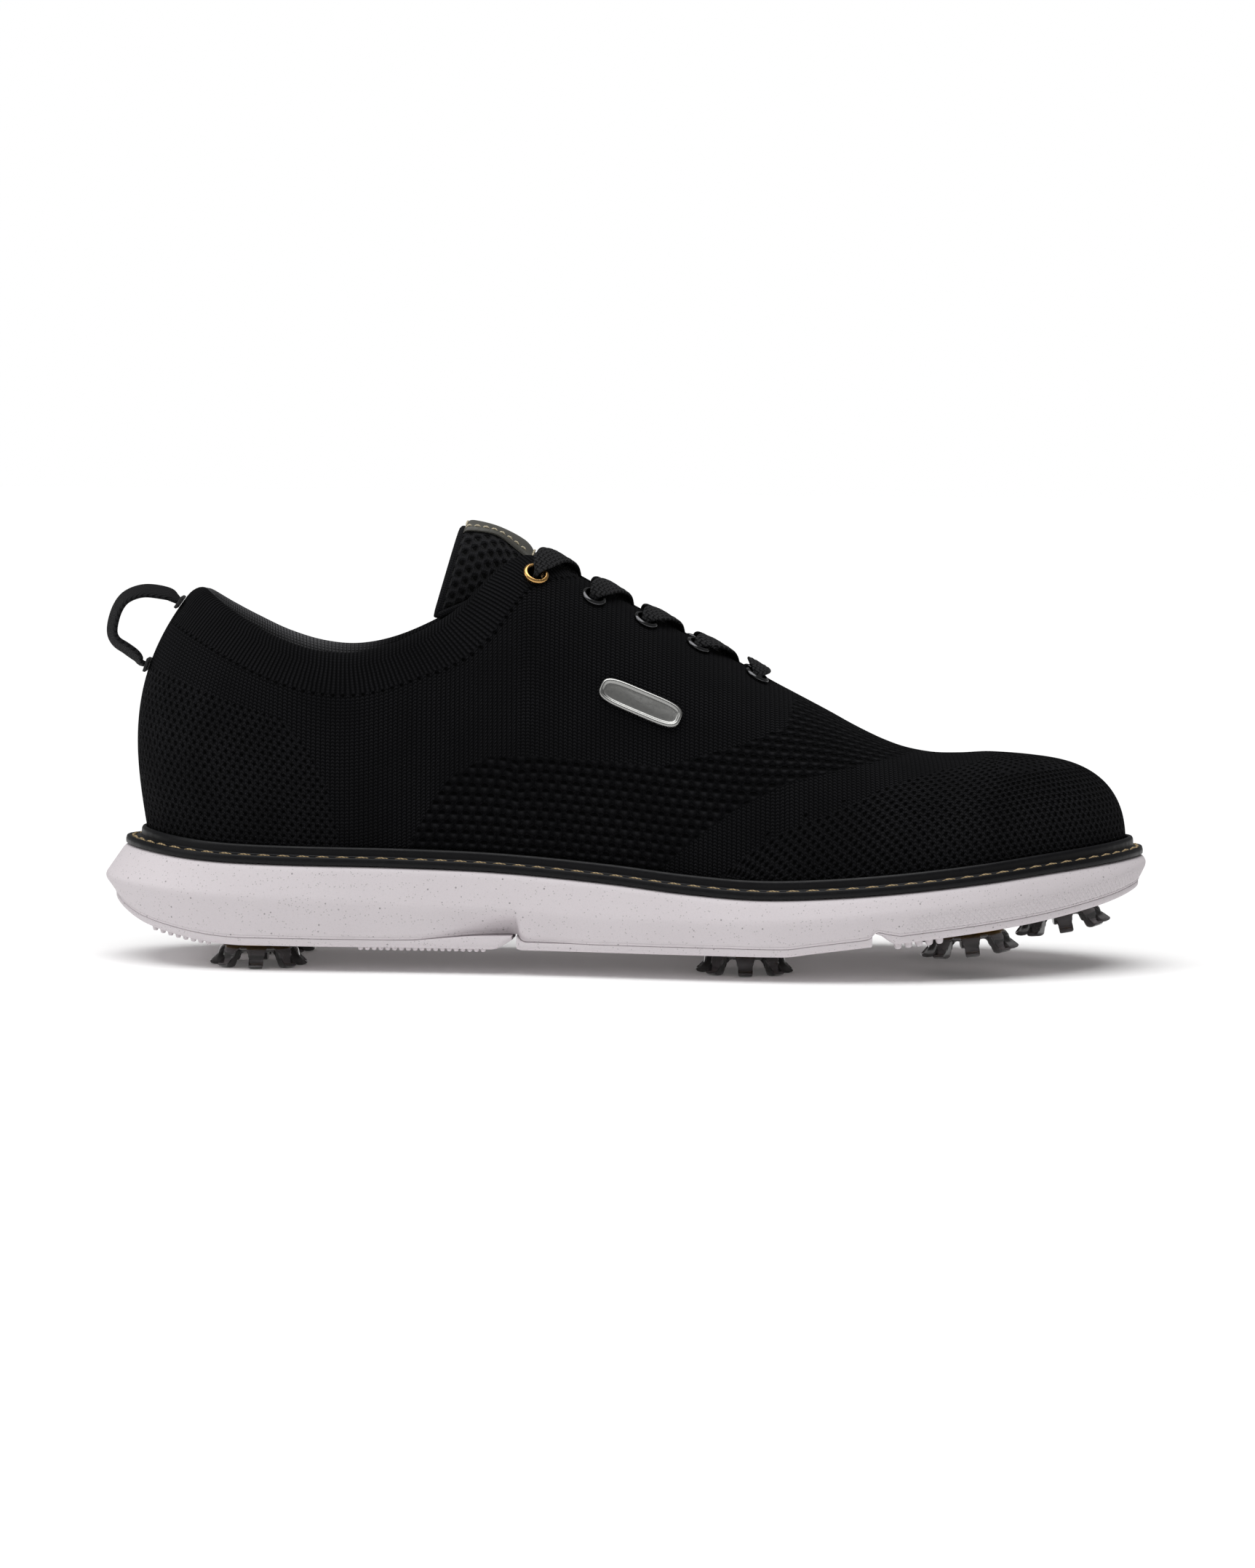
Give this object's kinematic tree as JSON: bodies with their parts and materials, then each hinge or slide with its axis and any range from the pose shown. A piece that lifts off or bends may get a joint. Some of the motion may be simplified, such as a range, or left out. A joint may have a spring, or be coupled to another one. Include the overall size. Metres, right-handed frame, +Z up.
{
  "type": "golf shoe",
  "caption": "Low-cut laced golf shoe for the right foot: knit upper with a stitched welt on a foam midsole, outsole pads and twist-in soft spikes.",
  "frame": {"origin": "on the ground under the middle of the shoe", "axes": "+X points to the toe, +Y to the medial side, +Z up; the shoe stands on its heel and ball spikes"},
  "size_m": [0.302, 0.1064, 0.1274],
  "materials": {
    "black_knit": "engineered knit with open and closed areas",
    "collar_rib": "ribbed knit",
    "pad_foam": "soft foam",
    "lining_textile": "fine textile",
    "stiffener_sheet": "plain sheet",
    "pale_eva": "satin moulded foam with fine specks",
    "pale_tpu": "satin",
    "black_welt": "smooth satin",
    "tan_thread": "waxed twisted thread",
    "strobel_board": "plain non-woven board",
    "footbed_textile": "fine knit on foam",
    "glass_nylon": "plain",
    "amber_receptacle": "smooth",
    "smoke_tpu": "translucent smoke, glossy",
    "gold_eyelet": "polished",
    "steel_eyelet": "satin",
    "label_leather": "smooth",
    "black_lace": "flat woven",
    "aglet_plastic": "smooth",
    "grey_webbing": "twill webbing",
    "badge_metal": "satin face, bright rim"
  },
  "bodies": {
    "shoe": {"aglet_lateral": "aglet_plastic", "aglet_medial": "aglet_plastic", "collar_foam": "pad_foam", "collar_roll": "collar_rib", "emblem": "badge_metal", "eyelet_lateral_1": "steel_eyelet", "eyelet_lateral_2": "steel_eyelet", "eyelet_lateral_3": "steel_eyelet", "eyelet_lateral_4": "steel_eyelet", "eyelet_lateral_5": "gold_eyelet", "eyelet_medial_1": "steel_eyelet", "eyelet_medial_2": "steel_eyelet", "eyelet_medial_3": "steel_eyelet", "eyelet_medial_4": "steel_eyelet", "eyelet_medial_5": "gold_eyelet", "footbed": "footbed_textile", "heel_counter": "stiffener_sheet", "knit_upper": "black_knit", "lace": "black_lace", "lining": "lining_textile", "loop_tab_lower": "grey_webbing", "loop_tab_upper": "grey_webbing", "midsole": "pale_eva", "outsole_ball": "pale_tpu", "outsole_heel": "pale_tpu", "outsole_toe": "pale_tpu", "receptacle_ball_lateral": "amber_receptacle", "receptacle_ball_medial": "amber_receptacle", "receptacle_forefoot_lateral": "amber_receptacle", "receptacle_forefoot_medial": "amber_receptacle", "receptacle_heel_lateral": "amber_receptacle", "receptacle_heel_medial": "amber_receptacle", "receptacle_toe": "amber_receptacle", "shank": "glass_nylon", "storm_welt": "black_welt", "strobel_board": "strobel_board", "toe_puff": "stiffener_sheet", "welt_thread": "tan_thread"},
    "tongue_flap": {"tongue": "black_knit", "tongue_label": "label_leather"},
    "heel_loop": {"pull_loop": "grey_webbing"},
    "cleat_ball_lateral": {"cleat_ball_lateral": "smoke_tpu"},
    "cleat_ball_medial": {"cleat_ball_medial": "smoke_tpu"},
    "cleat_forefoot_lateral": {"cleat_forefoot_lateral": "smoke_tpu"},
    "cleat_forefoot_medial": {"cleat_forefoot_medial": "smoke_tpu"},
    "cleat_heel_lateral": {"cleat_heel_lateral": "smoke_tpu"},
    "cleat_heel_medial": {"cleat_heel_medial": "smoke_tpu"},
    "cleat_toe": {"cleat_toe": "smoke_tpu"}
  },
  "joints": [
    {"name": "cleat_ball_lateral_twist", "type": "hinge", "parent": "shoe", "child": "cleat_ball_lateral", "pos_m": [0.034, -0.0235, 0.00718], "axis": [0, 0, -1], "range_deg": [0, 75]},
    {"name": "cleat_ball_medial_twist", "type": "hinge", "parent": "shoe", "child": "cleat_ball_medial", "pos_m": [0.0345, 0.022, 0.00718], "axis": [0, 0, -1], "range_deg": [0, 75]},
    {"name": "cleat_forefoot_lateral_twist", "type": "hinge", "parent": "shoe", "child": "cleat_forefoot_lateral", "pos_m": [0.0975, -0.024, 0.0136], "axis": [0.1163, 0, -0.9932], "range_deg": [0, 75]},
    {"name": "cleat_forefoot_medial_twist", "type": "hinge", "parent": "shoe", "child": "cleat_forefoot_medial", "pos_m": [0.095, 0.022, 0.01331], "axis": [0.1155, 0, -0.9933], "range_deg": [0, 75]},
    {"name": "cleat_heel_lateral_twist", "type": "hinge", "parent": "shoe", "child": "cleat_heel_lateral", "pos_m": [-0.105, -0.018, 0.0072], "axis": [0, 0, -1], "range_deg": [0, 75]},
    {"name": "cleat_heel_medial_twist", "type": "hinge", "parent": "shoe", "child": "cleat_heel_medial", "pos_m": [-0.105, 0.018, 0.0072], "axis": [0, 0, -1], "range_deg": [0, 75]},
    {"name": "cleat_toe_twist", "type": "hinge", "parent": "shoe", "child": "cleat_toe", "pos_m": [0.126, 0.006, 0.01765], "axis": [0.1807, 0, -0.9835], "range_deg": [0, 75]},
    {"name": "tongue_tilt", "type": "hinge", "parent": "shoe", "child": "tongue_flap", "pos_m": [0.0475, 0, 0.074], "axis": [0, -1, 0], "range_deg": [0, 8]},
    {"name": "pull_loop_swing", "type": "hinge", "parent": "shoe", "child": "heel_loop", "pos_m": [-0.13612, 0, 0.09456], "axis": [0.4575, 0, 0.8892], "range_deg": [-30, 30], "stiffness_Nm_per_rad": 0.002}
  ]
}
